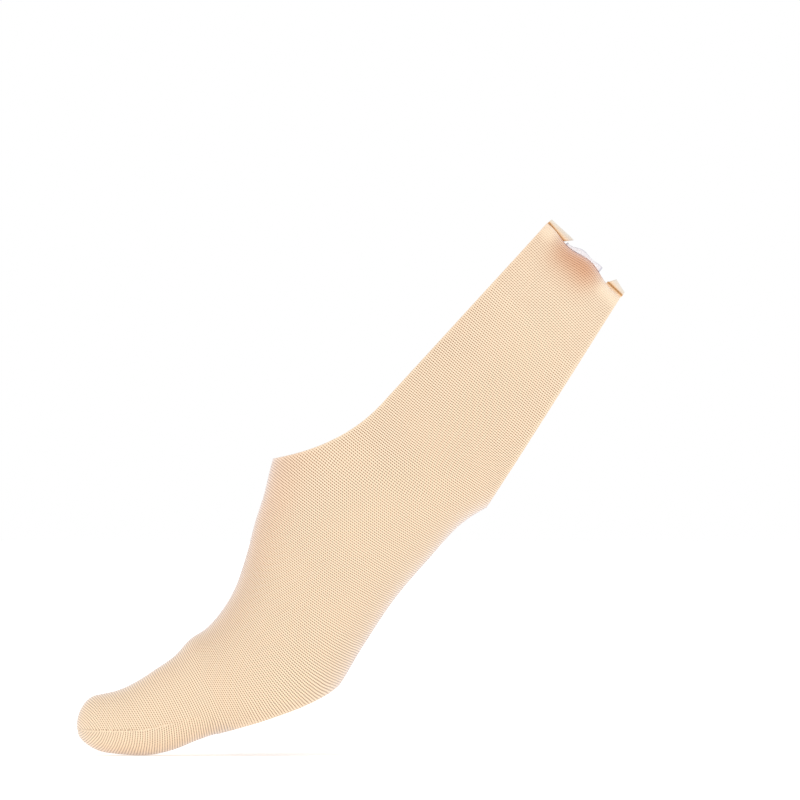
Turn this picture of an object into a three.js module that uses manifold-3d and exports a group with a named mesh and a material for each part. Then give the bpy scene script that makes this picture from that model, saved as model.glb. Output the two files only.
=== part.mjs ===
// Bunion sleeve: a thin knitted sleeve for the right side, in the form that it has when worn.
// It is a closed toe pocket, a tube behind it, and a strap that runs round the back to a seam.
// Its openings are at the front and the ball, on top at the ankle, and at the heel.
// Millimetres. +X points from the toe pocket to the strap, +Y to the outer side, +Z up.
// The origin is in the middle of the tube's hollow.
import * as THREE from "three";
import { mergeVertices } from "three/addons/utils/BufferGeometryUtils.js";
import Module from "manifold-3d";

const wasm = await Module();
wasm.setup();

// Driving dimensions of the cloth
const WALL = 1.0; // thickness of the knit
const TAB_THICKNESS = 1.8; // two layers of seam allowance
const LABEL_THICKNESS = 0.5;

// Sections of the worn form, from the toe pocket to the strap. Each row is a closed ring, with columns
// top, sole: its upper and lower end in the side view, as [x, z]
// medial, lateral: its widest y on the inner and the outer side
// middle: the y of its upper and lower ends
// belly: the share of its height, from the sole, at which it is widest
// square: 2 is an ellipse, and more is squarer
const SECTIONS = [
  [[-85.8, -54.2], [-81.8, -74.2], -35, -13.5, -24, 0.48, 2.2], // pocket tip
  [[-77.7, -52.4], [-75.2, -74.9], -37.5, -11.5, -24.5, 0.48, 2.2], // pocket pad
  [[-71.2, -49.4], [-66.5, -75.0], -38.5, -11, -25, 0.48, 2.2], // pocket joint
  [[-64.5, -45.1], [-57.8, -73.1], -38.5, -11, -25, 0.48, 2.2], // pocket shaft
  [[-57.8, -40.4], [-49.0, -69.6], -39.5, -10, -25, 0.48, 2.2], // pocket base
  [[-52.4, -34.6], [-41.0, -67.6], -41.5, -3, -23, 0.48, 2.2], // web
  [[-46.5, -30.6], [-27.3, -69.0], -43.5, 30, -20, 0.46, 2.2], // bunion
  [[-41.0, -24.2], [-10.5, -62.3], -43.5, 45, -17, 0.44, 2.2], // ball
  [[-36.4, -16.0], [-0.7, -51.5], -41.5, 46, -14, 0.42, 2.2], // behind ball
  [[-32.6, -4.6], [7.7, -37.8], -39, 44, -12, 0.42, 2.2], // shafts
  [[-29.8, 6.0], [18.9, -21.0], -37, 41, -10, 0.42, 2.2], // arch
  [[-26.6, 16.1], [31.0, -6.8], -35.5, 38, -8, 0.44, 2.3], // instep
  [[-23.5, 28.5], [43.0, 6.0], -34, 35.5, -5, 0.46, 2.5], // ankle front
  [[-17.0, 49.0], [59.0, 15.4], -32, 32.5, -2, 0.48, 2.8], // ankle side
  [[19.3, 75.3], [77.0, 24.5], -28.5, 28.5, 0, 0.48, 3.2], // heel side
  [[43.8, 101.5], [97.5, 46.0], -21.5, 21.5, 0, 0.48, 3.4], // strap
  [[67.9, 116.2], [108.0, 75.5], -21.5, 21.5, 0, 0.48, 3.4], // back seam
].map(([top, sole, medial, lateral, middle, belly, square]) => (
  { top, sole, medial, lateral, middle, belly, square }
));
const LAST = SECTIONS.length - 1;
const TOE_TIP = { x: -91.7, z: -67.0, y: -23.5 };
const TOE_TAPER = { top: 0.07, sole: 0.35 }; // how soon the rings of the toe cap begin to narrow

// The strap closes at its back as a power of the way left to the seam: rounder in the middle of its width,
// and a flatter wedge at its two corners, which the seam holds out.
// centre and reach give that width as shares of the section's height. Between the corners the seam runs in a
// wave about a slight bulge, waveLength and waveStart being shares of the height as well.
const CLOSING = {
  middle: 0.5,
  corner: 0.72,
  centre: 0.56,
  reach: 0.32,
  wave: 1.1,
  bulge: 0.2,
  waveStart: 0.605,
  waveLength: 0.4,
  insetShare: 1.4,
};

// How finely the form is divided
const AROUND = 44;
const CAP_RINGS = 5;
const RINGS_PER_SPAN = 3;
const CLOSING_RINGS = 7;

// Edges of the openings in the side view, as [x, z]
const ANKLE_EDGE = { front: [-23.5, 28.4], bend: [1.9, 32.8], rise: [15.9, 49.0], back: [72.9, 111.2] };
const HEEL_EDGE = { back: [98.3, 85.2], sole: [51.5, 11.6] };
const BALL_EDGE = { toe: [-42.2, -67.6], bend: [-10.2, -58.8], sole: [-1.6, -52.0] };

// Rim of the toe pocket towards the front opening, in the side view, from medial outwards
const WEB_EDGE = { low: [-43.0, -66.0], high: [-54.5, -44.0], medial: -19, back: -25 };

// Front edge, seen from above the slope of the tube: along runs to the strap and across to the outer side.
// Lean is how far the edge falls back from the top to the sole, as a share of the height.
const FRONT_SLOPE = THREE.MathUtils.degToRad(40.8);
const FRONT_EDGE = {
  webAlong: -62,
  webAcross: -8.5,
  webRadius: 6,
  outerAlong: -41,
  outerAcross: 52,
  lean: 0.55,
};
const BEYOND = 60; // how far the cutting blocks reach past the cloth

// Seam allowance at the two corners of the strap, in the side view: root along the seam, then the free edge
const TABS = [
  { name: "seam_tab_upper", root: [[73.6, 111.5], [78.6, 105.4]], free: [[81.7, 105.2], [74.2, 112.1]] },
  { name: "seam_tab_lower", root: [[93.9, 90.6], [99.0, 85.7]], free: [[99.6, 86.7], [96.8, 91.1]] },
];

// Blank label sewn over the middle of the back seam: its ends along the seam as shares of the section's
// height, its reach round the strap on each side as shares of the strap's width there, how far its lower and
// upper end stand off the knit, and its ripple
const LABEL = {
  low: 0.44,
  high: 0.7,
  medial: -0.12,
  lateral: 0.42,
  lowGap: 0.3,
  highGap: 0.25,
  ripple: 0.36,
  waves: 1.6,
};
const LABEL_ROWS = 12;
const LABEL_COLUMNS = 10;

const COLOURS = { knit: 0xe9cda9, allowance: 0xf0d6b0, label: 0xf4f2f0 };

// Catmull-Rom interpolation of one value through four neighbours
function smooth(before, from, to, after, share) {
  const leave = (to - before) / 2;
  const arrive = (after - from) / 2;
  const rise = to - from;
  const bend = 3 * rise - 2 * leave - arrive;
  const twist = leave + arrive - 2 * rise;
  return from + share * (leave + share * (bend + share * twist));
}

// The section at any station, where station 0 is the first row of the table and LAST the last
function sectionAt(station) {
  const row = Math.min(Math.floor(station), LAST - 1);
  const share = station - row;
  const near = [row - 1, row, row + 1, row + 2].map((i) => SECTIONS[THREE.MathUtils.clamp(i, 0, LAST)]);
  const value = (read) => smooth(...near.map(read), share);
  return {
    top: [value((s) => s.top[0]), value((s) => s.top[1])],
    sole: [value((s) => s.sole[0]), value((s) => s.sole[1])],
    medial: value((s) => s.medial),
    lateral: value((s) => s.lateral),
    middle: value((s) => s.middle),
    belly: value((s) => s.belly),
    square: value((s) => s.square),
  };
}

// The same section with its ring drawn in by inset on every side
function inward(section, inset) {
  const [dx, dz] = [section.top[0] - section.sole[0], section.top[1] - section.sole[1]];
  const share = inset / Math.hypot(dx, dz);
  return {
    ...section,
    top: [section.top[0] - dx * share, section.top[1] - dz * share],
    sole: [section.sole[0] + dx * share, section.sole[1] + dz * share],
    medial: section.medial + inset,
    lateral: section.lateral - inset,
  };
}

// Height share and sideways share of a point of a ring. Angle 0 is the top, a quarter turn the medial side.
function ringShares(section, angle) {
  const bulge = (v) => Math.sign(v) * Math.abs(v) ** (2 / section.square);
  const up = bulge(Math.cos(angle));
  const height = section.belly + (up > 0 ? 1 - section.belly : section.belly) * up;
  return { height, side: bulge(Math.sin(angle)) };
}

function pointOf(section, { height, side }, widthShare = 1) {
  const reach = side > 0 ? section.medial - section.middle : section.middle - section.lateral;
  return new THREE.Vector3(
    section.sole[0] + height * (section.top[0] - section.sole[0]),
    section.middle + side * reach * widthShare,
    section.sole[1] + height * (section.top[1] - section.sole[1]),
  );
}

// A ring of the round toe cap. Turn runs from 0 at the tip to a quarter turn at the first section.
function capPoint(turn, angle, inset) {
  const base = inward(sectionAt(0), inset);
  const shares = ringShares(base, angle);
  const onBase = pointOf(base, shares);
  const centre = pointOf(base, { height: base.belly, side: 0 });
  const taper = THREE.MathUtils.lerp(TOE_TAPER.sole, TOE_TAPER.top, shares.height);
  const tip = new THREE.Vector3(TOE_TIP.x + inset, TOE_TIP.y, TOE_TIP.z);
  return onBase
    .sub(centre)
    .multiplyScalar(Math.sin(turn) * (1 - taper * Math.cos(turn)))
    .add(centre.clone().lerp(tip, Math.cos(turn)));
}

// A ring of the strap's end. Way runs from 0 at the last but one section to 1 at the back seam.
function closingPoint(way, angle, inset) {
  const section = inward(sectionAt(LAST - 1 + way), inset);
  const shares = ringShares(section, angle);
  const corner = Math.min(1, ((shares.height - CLOSING.centre) / CLOSING.reach) ** 2);
  const power = THREE.MathUtils.lerp(CLOSING.middle, CLOSING.corner, corner);
  const start = pointOf(sectionAt(LAST - 1), shares);
  const end = pointOf(sectionAt(LAST), shares);
  const back = end.sub(start).setY(0).normalize();
  const turn = (2 * Math.PI * (shares.height - CLOSING.waveStart)) / CLOSING.waveLength;
  const drawnIn = CLOSING.wave * Math.sin(turn) - CLOSING.bulge;
  const pull = way * ((1 - corner) * drawnIn + CLOSING.insetShare * inset);
  return pointOf(section, shares, (1 - way) ** power).addScaledVector(back, -pull);
}

// Every ring of the form from the toe cap to the strap's end, each a function of the angle
function formRings(inset) {
  const quarter = Math.PI / 2;
  const rings = [];
  for (let i = 1; i < CAP_RINGS; i += 1) {
    rings.push((angle) => capPoint((quarter * i) / CAP_RINGS, angle, inset));
  }
  for (let i = 0; i <= (LAST - 1) * RINGS_PER_SPAN; i += 1) {
    const section = inward(sectionAt(i / RINGS_PER_SPAN), inset);
    rings.push((angle) => pointOf(section, ringShares(section, angle)));
  }
  for (let i = 1; i <= CLOSING_RINGS; i += 1) {
    const way = Math.sin((quarter * i) / CLOSING_RINGS);
    rings.push((angle) => closingPoint(way, angle, inset));
  }
  return rings;
}

// A closed surface over a grid of rings that starts in one point and ends in a pinched line
function formGeometry(inset) {
  const rings = formRings(inset);
  const points = [new THREE.Vector3(TOE_TIP.x + inset, TOE_TIP.y, TOE_TIP.z)];
  const faces = [];
  const at = (ring, side) => 1 + ring * AROUND + (side % AROUND);
  rings.forEach((ring, r) => {
    for (let a = 0; a < AROUND; a += 1) {
      points.push(ring((2 * Math.PI * a) / AROUND));
      if (r === 0) {
        faces.push(0, at(0, a + 1), at(0, a));
      } else {
        faces.push(at(r - 1, a), at(r, a + 1), at(r, a));
        faces.push(at(r - 1, a), at(r - 1, a + 1), at(r, a + 1));
      }
    }
  });
  return new THREE.BufferGeometry().setFromPoints(points).setIndex(faces);
}

// Solids for joining and cutting
function solidOf(geometry) {
  const bare = geometry.clone();
  bare.deleteAttribute("normal");
  bare.deleteAttribute("uv");
  const merged = mergeVertices(bare, 1e-4);
  const corners = merged.index.array;
  const triangles = [];
  for (let i = 0; i < corners.length; i += 3) {
    const [a, b, c] = corners.slice(i, i + 3);
    if (a !== b && b !== c && c !== a) triangles.push(a, b, c);
  }
  const vertProperties = new Float32Array(merged.getAttribute("position").array);
  const triVerts = new Uint32Array(triangles);
  return new wasm.Manifold(new wasm.Mesh({ numProp: 3, vertProperties, triVerts }));
}

function geometryOf(solid) {
  const { vertProperties, triVerts } = solid.getMesh();
  const geometry = new THREE.BufferGeometry();
  geometry.setAttribute("position", new THREE.BufferAttribute(vertProperties, 3));
  geometry.setIndex(new THREE.BufferAttribute(triVerts, 1));
  return geometry;
}

// A block with its outline in the side view, across the whole sleeve or of a given depth about y = middle
function sideBlock(shape, depth = 4 * BEYOND, middle = 0) {
  const geometry = new THREE.ExtrudeGeometry(shape, { depth, bevelEnabled: false, curveSegments: 16 });
  return geometry.translate(0, 0, -depth / 2 - middle).rotateX(Math.PI / 2);
}

// The point past b on the line from a to b
function past(a, b, distance) {
  const line = new THREE.Vector2(...b).sub(new THREE.Vector2(...a)).setLength(distance);
  return [b[0] + line.x, b[1] + line.y];
}

function ankleBlock() {
  const { front, bend, rise, back } = ANKLE_EDGE;
  const end = past(rise, back, BEYOND);
  const shape = new THREE.Shape();
  shape.moveTo(front[0] - BEYOND, front[1]);
  shape.lineTo(...front);
  shape.quadraticCurveTo(...bend, ...rise);
  shape.lineTo(...end);
  shape.lineTo(front[0] - BEYOND, end[1]);
  return sideBlock(shape);
}

function heelBlock() {
  const { back, sole } = HEEL_EDGE;
  const high = past(sole, back, BEYOND);
  const low = past(back, sole, BEYOND);
  const shape = new THREE.Shape();
  shape.moveTo(...low);
  shape.lineTo(high[0], low[1]);
  shape.lineTo(...high);
  return sideBlock(shape);
}

function ballBlock() {
  const { toe, bend, sole } = BALL_EDGE;
  const end = past(bend, sole, BEYOND / 2);
  const shape = new THREE.Shape();
  shape.moveTo(toe[0], toe[1] - BEYOND);
  shape.lineTo(end[0], toe[1] - BEYOND);
  shape.lineTo(...end);
  shape.lineTo(...sole);
  shape.quadraticCurveTo(...bend, ...toe);
  return sideBlock(shape);
}

function webBlock() {
  const { low, high, medial, back } = WEB_EDGE;
  const shape = new THREE.Shape();
  shape.moveTo(low[0], low[1] - BEYOND);
  shape.lineTo(back, low[1] - BEYOND);
  shape.lineTo(back, high[1]);
  shape.lineTo(...high);
  shape.lineTo(...low);
  return sideBlock(shape, BEYOND, medial + BEYOND / 2);
}

// The block for the front opening stands on the slope of the tube and leans forward
function frontBlock() {
  const { webAlong, webAcross, webRadius, outerAlong, outerAcross, lean } = FRONT_EDGE;
  const shape = new THREE.Shape();
  shape.moveTo(webAlong - BEYOND, webAcross);
  shape.lineTo(webAlong - webRadius, webAcross);
  shape.quadraticCurveTo(webAlong, webAcross, webAlong + webRadius / 3, webAcross + webRadius);
  shape.lineTo(outerAlong, outerAcross);
  shape.lineTo(webAlong - BEYOND, outerAcross);
  const depth = 2 * BEYOND;
  const geometry = new THREE.ExtrudeGeometry(shape, { depth, bevelEnabled: false, curveSegments: 8 });
  geometry.translate(0, 0, -BEYOND);
  const along = new THREE.Vector3(Math.cos(FRONT_SLOPE), 0, Math.sin(FRONT_SLOPE));
  const across = new THREE.Vector3(0, 1, 0);
  const up = along.clone().cross(across).addScaledVector(along, -lean);
  return geometry.applyMatrix4(new THREE.Matrix4().makeBasis(along, across, up));
}

// The knit is the form less its hollow, open at the ankle, the heel, the ball and the front
function knitGeometry() {
  const shell = solidOf(formGeometry(0)).subtract(solidOf(formGeometry(WALL)));
  const openings = [ankleBlock(), heelBlock(), ballBlock(), webBlock(), frontBlock()];
  const cut = openings.reduce((solid, block) => solid.subtract(solidOf(block)), shell);
  const bodies = cut.decompose();
  bodies.sort((a, b) => b.volume() - a.volume());
  return geometryOf(bodies[0]);
}

function tabGeometry({ root, free }) {
  const outline = [...root, ...free].map(([x, z]) => new THREE.Vector2(x, z));
  return sideBlock(new THREE.Shape(outline), TAB_THICKNESS);
}

// The angle at which a ring passes a height share on its medial side
function angleAt(section, height) {
  const up = (height - section.belly) / (height > section.belly ? 1 - section.belly : section.belly);
  return Math.acos(Math.sign(up) * Math.abs(up) ** (section.square / 2));
}

// A point of the label's inner or outer face. Level runs up the seam, and share round the back of the strap.
function labelPoint(level, share, outset) {
  const height = THREE.MathUtils.lerp(LABEL.low, LABEL.high, level);
  const round = THREE.MathUtils.lerp(LABEL.medial, LABEL.lateral, share);
  const ripple = LABEL.ripple * (1 + Math.cos(2 * Math.PI * LABEL.waves * level));
  const gap = THREE.MathUtils.lerp(LABEL.lowGap, LABEL.highGap, level) + ripple;
  const angle = angleAt(SECTIONS[LAST], height);
  return closingPoint(1 - round ** 2, round < 0 ? angle : -angle, -gap - outset);
}

function labelGeometry() {
  const points = [];
  const faces = [];
  const [rows, columns] = [LABEL_ROWS, LABEL_COLUMNS];
  const at = (face, row, column) => (face * (rows + 1) + row) * (columns + 1) + column;
  for (const outset of [0, LABEL_THICKNESS]) {
    for (let r = 0; r <= rows; r += 1) {
      for (let c = 0; c <= columns; c += 1) {
        points.push(labelPoint(r / rows, c / columns, outset));
      }
    }
  }
  const quad = (a, b, c, d) => faces.push(a, b, c, a, c, d);
  for (let r = 0; r < rows; r += 1) {
    for (let c = 0; c < columns; c += 1) {
      quad(at(0, r, c), at(0, r + 1, c), at(0, r + 1, c + 1), at(0, r, c + 1));
      quad(at(1, r, c), at(1, r, c + 1), at(1, r + 1, c + 1), at(1, r + 1, c));
    }
    quad(at(0, r, 0), at(1, r, 0), at(1, r + 1, 0), at(0, r + 1, 0));
    quad(at(0, r, columns), at(0, r + 1, columns), at(1, r + 1, columns), at(1, r, columns));
  }
  for (let c = 0; c < columns; c += 1) {
    quad(at(0, 0, c), at(0, 0, c + 1), at(1, 0, c + 1), at(1, 0, c));
    quad(at(0, rows, c), at(1, rows, c), at(1, rows, c + 1), at(0, rows, c + 1));
  }
  return new THREE.BufferGeometry().setFromPoints(points).setIndex(faces);
}

function addPiece(group, name, geometry, color, roughness) {
  const mesh = new THREE.Mesh(geometry, new THREE.MeshStandardMaterial({ color, roughness, metalness: 0 }));
  mesh.name = name;
  group.add(mesh);
}

const sleeve = new THREE.Group();
addPiece(sleeve, "knit_sleeve", knitGeometry(), COLOURS.knit, 0.85);
TABS.forEach((tab) => addPiece(sleeve, tab.name, tabGeometry(tab), COLOURS.allowance, 0.85));
addPiece(sleeve, "back_label", labelGeometry(), COLOURS.label, 0.6);

export default sleeve;
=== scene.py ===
"""Looks of the bunion sleeve: a fine open-mesh knit in its worn form, with its seams, tabs and blank label.

Sizes are in millimetres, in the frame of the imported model, and mesh_object() turns them into metres.
"""
import math

import bpy
import numpy as np
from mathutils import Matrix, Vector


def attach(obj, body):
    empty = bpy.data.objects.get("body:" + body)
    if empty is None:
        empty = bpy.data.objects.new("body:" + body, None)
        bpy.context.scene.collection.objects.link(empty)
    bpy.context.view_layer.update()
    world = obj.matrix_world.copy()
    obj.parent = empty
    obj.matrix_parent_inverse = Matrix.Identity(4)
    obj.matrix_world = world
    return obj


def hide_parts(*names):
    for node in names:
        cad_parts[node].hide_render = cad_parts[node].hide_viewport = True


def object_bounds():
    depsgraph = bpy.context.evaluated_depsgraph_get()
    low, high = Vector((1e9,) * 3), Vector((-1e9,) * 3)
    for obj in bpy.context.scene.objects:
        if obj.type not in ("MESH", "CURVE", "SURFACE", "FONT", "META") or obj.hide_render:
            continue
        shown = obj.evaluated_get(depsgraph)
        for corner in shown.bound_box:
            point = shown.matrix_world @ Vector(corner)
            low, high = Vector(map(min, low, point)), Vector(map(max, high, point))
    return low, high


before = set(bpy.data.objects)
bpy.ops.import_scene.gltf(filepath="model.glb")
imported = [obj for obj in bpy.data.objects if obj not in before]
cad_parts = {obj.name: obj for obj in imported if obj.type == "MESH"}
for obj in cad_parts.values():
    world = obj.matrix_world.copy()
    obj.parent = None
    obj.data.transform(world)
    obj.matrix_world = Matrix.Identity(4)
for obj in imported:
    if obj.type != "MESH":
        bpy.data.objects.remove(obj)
cad_low, cad_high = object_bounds()

MM = 0.001
SMALL, TINY = 1e-6, 1e-9  # least values to divide by

# Sections of the worn form, from the toe pocket to the strap. Each row is a closed ring, with columns
# top and sole: its upper and lower end in the side view
# medial, lateral: its widest y on the inner and the outer side
# middle: the y of its upper and lower ends
# belly: the share of its height, from the sole, at which it is widest
# square: 2 is an ellipse, and more is squarer
COLUMNS = ("top_x", "top_z", "sole_x", "sole_z", "medial", "lateral", "middle", "belly", "square")
SECTIONS = np.array([
    (-85.8, -54.2, -81.8, -74.2, -35, -13.5, -24, 0.48, 2.2),  # pocket tip
    (-77.7, -52.4, -75.2, -74.9, -37.5, -11.5, -24.5, 0.48, 2.2),  # pocket pad
    (-71.2, -49.4, -66.5, -75.0, -38.5, -11, -25, 0.48, 2.2),  # pocket joint
    (-64.5, -45.1, -57.8, -73.1, -38.5, -11, -25, 0.48, 2.2),  # pocket shaft
    (-57.8, -40.4, -49.0, -69.6, -39.5, -10, -25, 0.48, 2.2),  # pocket base
    (-52.4, -34.6, -41.0, -67.6, -41.5, -3, -23, 0.48, 2.2),  # web
    (-46.5, -30.6, -27.3, -69.0, -43.5, 30, -20, 0.46, 2.2),  # bunion
    (-41.0, -24.2, -10.5, -62.3, -43.5, 45, -17, 0.44, 2.2),  # ball
    (-36.4, -16.0, -0.7, -51.5, -41.5, 46, -14, 0.42, 2.2),  # behind ball
    (-32.6, -4.6, 7.7, -37.8, -39, 44, -12, 0.42, 2.2),  # shafts
    (-29.8, 6.0, 18.9, -21.0, -37, 41, -10, 0.42, 2.2),  # arch
    (-26.6, 16.1, 31.0, -6.8, -35.5, 38, -8, 0.44, 2.3),  # instep
    (-23.5, 28.5, 43.0, 6.0, -34, 35.5, -5, 0.46, 2.5),  # ankle front
    (-17.0, 49.0, 59.0, 15.4, -32, 32.5, -2, 0.48, 2.8),  # ankle side
    (19.3, 75.3, 77.0, 24.5, -28.5, 28.5, 0, 0.48, 3.2),  # heel side
    (43.8, 101.5, 97.5, 46.0, -21.5, 21.5, 0, 0.48, 3.4),  # strap
    (67.9, 116.2, 108.0, 75.5, -21.5, 21.5, 0, 0.48, 3.4),  # back seam
])
LAST = len(SECTIONS) - 1
TOE_TIP = np.array([-91.7, -23.5, -67.0])
TOE_TAPER_TOP, TOE_TAPER_SOLE = 0.07, 0.35  # how soon the rings of the toe cap begin to narrow

# How the strap closes at its back seam, as in the model's solids
CLOSING_MIDDLE, CLOSING_CORNER = 0.5, 0.72  # powers by which its width closes in its middle and corners
CLOSING_CENTRE, CLOSING_REACH = 0.56, 0.32  # height share of that middle, and how far the corners are
CLOSING_WAVE, CLOSING_BULGE = 1.1, 0.2  # how far its end waves and stands out
CLOSING_WAVE_START, CLOSING_WAVE_LENGTH = 0.605, 0.4  # as height shares
CLOSING_INSET_SHARE = 1.4  # how much further an inset draws it in

# Courses, the fine lines of the knit: their fall below the horizontal in the side view, in degrees, at the
# top, the middle and the sole of each section
COURSE_FALL = np.array([
    (45, 57, 74),  # pocket tip
    (55, 60, 77),  # pocket pad
    (59, 61, 80),  # pocket joint
    (60, 62, 82),  # pocket shaft
    (60, 61, 82),  # pocket base
    (59, 60, 80),  # web
    (57, 56, 72),  # bunion
    (52, 50, 45),  # ball
    (46, 44, 27),  # behind ball
    (41, 38, 25),  # shafts
    (38, 36, 26),  # arch
    (36, 35, 28),  # instep
    (36, 36, 30),  # ankle front
    (38, 38, 33),  # ankle side
    (40, 40.5, 40),  # heel side
    (41.5, 41.5, 41.5),  # strap
    (42, 42, 42),  # back seam
])
COURSE_LEVELS = np.array([1.0, 0.5, 0.0])  # the height shares of those three columns
COURSE_ZERO = 0.5  # the height share from which a ring's courses are counted
COURSE_PITCH = 0.815  # from course to course
EYE_PITCH = 0.81  # from eye to eye along a course

# Height of the line at which the knit's two ends meet: the toe seam, and from the ball on the sole's middle
MEETING_HEIGHT = np.array([0.385, 0.37, 0.35, 0.315, 0.255, 0.13] + [0.0] * (LAST - 5))
MEETING_LIFT, MEETING_TOP = 0.07, 0.8  # how it rises on the toe cap's rings, and its highest share there
# How far the courses lean forward between the seam and the sole at each section
DART_LEAN = np.array([7.0, 5.5, 3.6, 1.9, 0.7] + [0.0] * (LAST - 4))
FAN_AHEAD, FAN_UP = 14.0, 7.1  # the point before the toe round which the courses of its cap bend
FAN_FALL = math.radians(60)  # their fall where the bend begins
FAN_LEAN = 0.06  # how soon those below the seam lean further forward
# How open the mesh is at each section, as a share of its usual eyes
MESH_OPEN = np.array([0.88, 0.9, 0.92, 0.95, 0.98, 1.0] + [1.08] * 6 + [1.12, 1.22, 1.18, 0.93, 0.75])
# How much of the painted shade along the top, darker and warmer, shows at each section
TOP_SHADE_SHARE = np.array([0.05, 0.05, 0.1, 0.15, 0.2, 0.3, 0.45, 0.55, 0.6, 0.7, 0.75] + [0.8] * (LAST - 10))
DEPTH_SHARE = 0.3  # courses are spaced for the side view, with this share of the cloth's turn in depth

# How finely the form is divided
RINGS = 205
HALF_COLUMNS = 84
FINE_RINGS = 1600
FINE_COLUMNS = 160
WIDE_FROM, WIDE_TO = -0.99, LAST - 0.02  # rings past these are too narrow to measure
SAME_DIGITS = 3  # points that are equal to this many digits are one
SNAP = 0.06  # a point this near a cut edge is taken to lie on it

# The cloth and its round cut edges
WALL = 0.85
RIM_STEPS = 4
RIM_BULGE = 0.6  # as a share of half the wall

# Edges of the openings in the side view, as x and z
ANKLE_FRONT, ANKLE_BEND, ANKLE_RISE, ANKLE_BACK = (-23.5, 28.4), (1.9, 32.8), (15.9, 49.0), (72.9, 111.2)
HEEL_BACK, HEEL_SOLE = (98.3, 85.2), (51.5, 11.6)
BALL_TOE, BALL_BEND, BALL_SOLE = (-42.2, -67.6), (-10.2, -58.8), (-1.6, -52.0)
WEB_LOW, WEB_HIGH, WEB_MEDIAL, WEB_BACK = (-43.0, -66.0), (-54.5, -44.0), -19, -25
WEB_TOP = -45.2  # the rim of the toe pocket ends at this height

# The front edge, by its places along the slope of the top and across the sleeve
FRONT_SLOPE = math.radians(40.8)
FRONT_WEB_ALONG, FRONT_WEB_ACROSS, FRONT_WEB_RADIUS, FRONT_WEB_BACK = -62, -8.5, 6, 2
FRONT_OUTER_ALONG, FRONT_OUTER_ACROSS, FRONT_LEAN = -41, 52, 0.55

MOUTH_ROUNDING = 5.0  # of the corners between its edges
OUTER_ROUNDING = 13.0  # of the corner on the outer side
BEYOND = 60  # how far an edge runs on past its last point
CURVE_STEPS = 24


# The worn form

def section_at(station, inset=0.0):
    """The section at any station between the rows of the table, drawn in by inset on every side."""
    row = np.clip(np.floor(station).astype(int), 0, LAST - 1)
    share = (station - row)[..., None]
    before, start, end, after = (SECTIONS[np.clip(row + step, 0, LAST)] for step in (-1, 0, 1, 2))
    leave = (end - before) / 2
    arrive = (after - start) / 2
    rise = end - start
    bend = 3 * rise - 2 * leave - arrive
    twist = leave + arrive - 2 * rise
    values = start + share * (leave + share * (bend + share * twist))
    section = dict(zip(COLUMNS, np.moveaxis(values, -1, 0)))
    tall_x = section["top_x"] - section["sole_x"]
    tall_z = section["top_z"] - section["sole_z"]
    pull = inset / np.hypot(tall_x, tall_z)
    section["top_x"] -= tall_x * pull
    section["top_z"] -= tall_z * pull
    section["sole_x"] += tall_x * pull
    section["sole_z"] += tall_z * pull
    section["medial"] += inset
    section["lateral"] -= inset
    return section


def lerp(start, end, share):
    return start + (end - start) * share


def by_station(stations, table):
    """A table's values at any stations, with one row for each section."""
    return np.interp(stations, np.arange(LAST + 1), table)


def turned(x, z, slope):
    """Places along and across a slope in the side view."""
    return x * math.cos(slope) + z * math.sin(slope), z * math.cos(slope) - x * math.sin(slope)


def bulge(value, power):
    return np.sign(value) * np.abs(value) ** power


def ring_shares(section, angle):
    """Height and sideways share of a point of a ring. Angle 0 is the top, a quarter turn the medial side."""
    up = bulge(np.cos(angle), 2 / section["square"])
    height = section["belly"] + np.where(up > 0, 1 - section["belly"], section["belly"]) * up
    return height, bulge(np.sin(angle), 2 / section["square"])


def angle_at(section, height):
    """The angle at which a ring passes a height share on its medial side."""
    reach = np.where(height > section["belly"], 1 - section["belly"], section["belly"])
    up = np.clip((height - section["belly"]) / reach, -1, 1)
    return np.arccos(bulge(up, section["square"] / 2))


def point_of(section, height, side):
    reach = np.where(side > 0, section["medial"] - section["middle"], section["middle"] - section["lateral"])
    x = lerp(section["sole_x"], section["top_x"], height)
    z = lerp(section["sole_z"], section["top_z"], height)
    return np.stack(np.broadcast_arrays(x, section["middle"] + side * reach, z), axis=-1)


def cap_shares(station, height):
    """How wide a ring of the toe cap is, as a share of the first section, and how far on towards the tip."""
    turn = (math.pi / 2) * (1 + np.minimum(station, 0))
    taper = lerp(TOE_TAPER_SOLE, TOE_TAPER_TOP, height)
    return np.sin(turn) * (1 - taper * np.cos(turn)), np.cos(turn)


def form_points(station, angle, inset=0.0):
    """Points of the form. Stations run from -1 at the toe's tip over 0 at the first section to the seam."""
    section = section_at(np.maximum(station, 0), inset)
    height, side = ring_shares(section, angle)
    way = np.clip(station - (LAST - 1), 0, 1)
    corner = np.minimum(1, ((height - CLOSING_CENTRE) / CLOSING_REACH) ** 2)
    width = (1 - way) ** lerp(CLOSING_MIDDLE, CLOSING_CORNER, corner)
    points = point_of(section, height, side * width)
    ends = [section_at(np.full_like(station, row)) for row in (LAST - 1.0, float(LAST))]
    start, end = (point_of(section_end, height, side) for section_end in ends)
    back = (end - start) * (1, 0, 1)
    back = back / np.linalg.norm(back, axis=-1, keepdims=True)
    wave = np.sin(2 * math.pi * (height - CLOSING_WAVE_START) / CLOSING_WAVE_LENGTH)
    drawn_in = CLOSING_WAVE * wave - CLOSING_BULGE
    pull = way * ((1 - corner) * drawn_in + CLOSING_INSET_SHARE * inset)
    points = points - back * pull[..., None]
    centre = point_of(section, section["belly"], np.zeros_like(station))
    tip = TOE_TIP + np.multiply.outer(inset, (1.0, 0.0, 0.0))
    narrow, ahead = (share[..., None] for share in cap_shares(station, height))
    return centre + (points - centre) * narrow + (tip - centre) * ahead


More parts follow.
